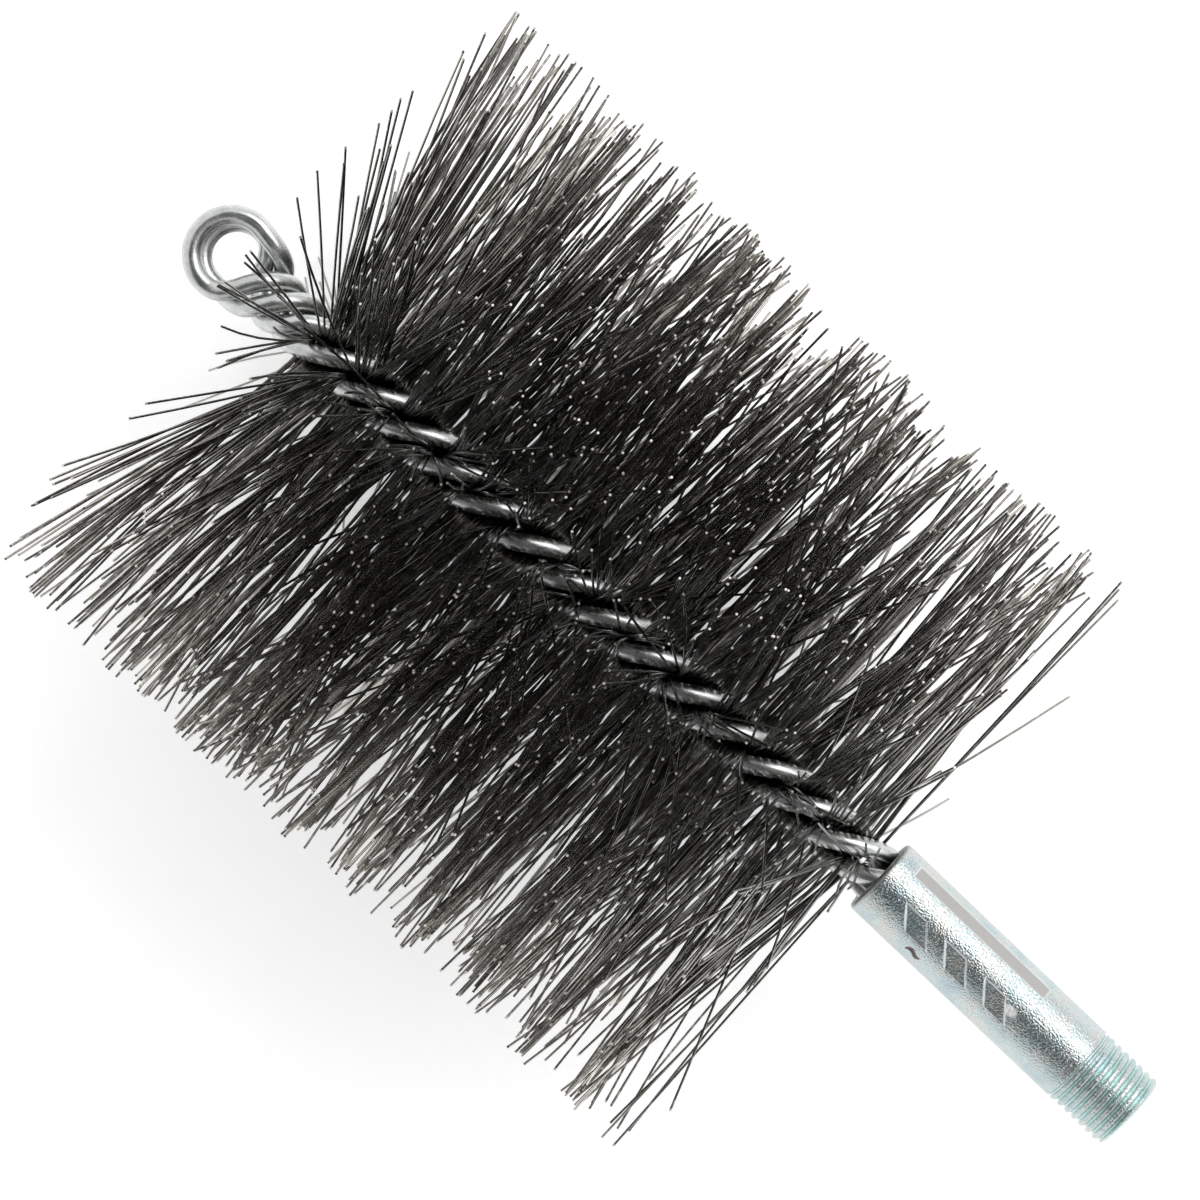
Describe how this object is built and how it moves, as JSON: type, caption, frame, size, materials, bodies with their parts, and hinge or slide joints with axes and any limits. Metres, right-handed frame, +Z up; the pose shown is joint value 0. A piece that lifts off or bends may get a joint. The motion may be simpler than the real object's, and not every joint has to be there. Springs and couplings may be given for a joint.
{
  "type": "twisted wire tube brush",
  "caption": "Twisted wire tube brush with dark steel bristles, an eye at the tip and a threaded zinc plated ferrule.",
  "frame": {"origin": "centre of the footprint, on the level of the lowest bristle tips; the stem's axis is 56 mm above it", "axes": "+X along the stem from the eye to the threaded end, +Z up, away from the surface that the brush lies on"},
  "size_m": [0.1905, 0.1126, 0.1123],
  "materials": {
    "wire": "drawn galvanised steel wire, satin",
    "ferrule": "bright zinc plated steel, lightly mottled",
    "filament": "oil tempered steel, near black, satin"
  },
  "bodies": {
    "root": {"stem_wire_front": "wire", "stem_wire_back": "wire", "ferrule": "ferrule", "bristles_01": "filament", "bristles_02": "filament", "bristles_03": "filament", "bristles_04": "filament", "bristles_05": "filament", "bristles_06": "filament", "bristles_07": "filament", "bristles_08": "filament", "bristles_09": "filament", "bristles_10": "filament", "bristles_11": "filament", "bristles_12": "filament", "bristles_13": "filament", "bristles_14": "filament"}
  },
  "joints": []
}
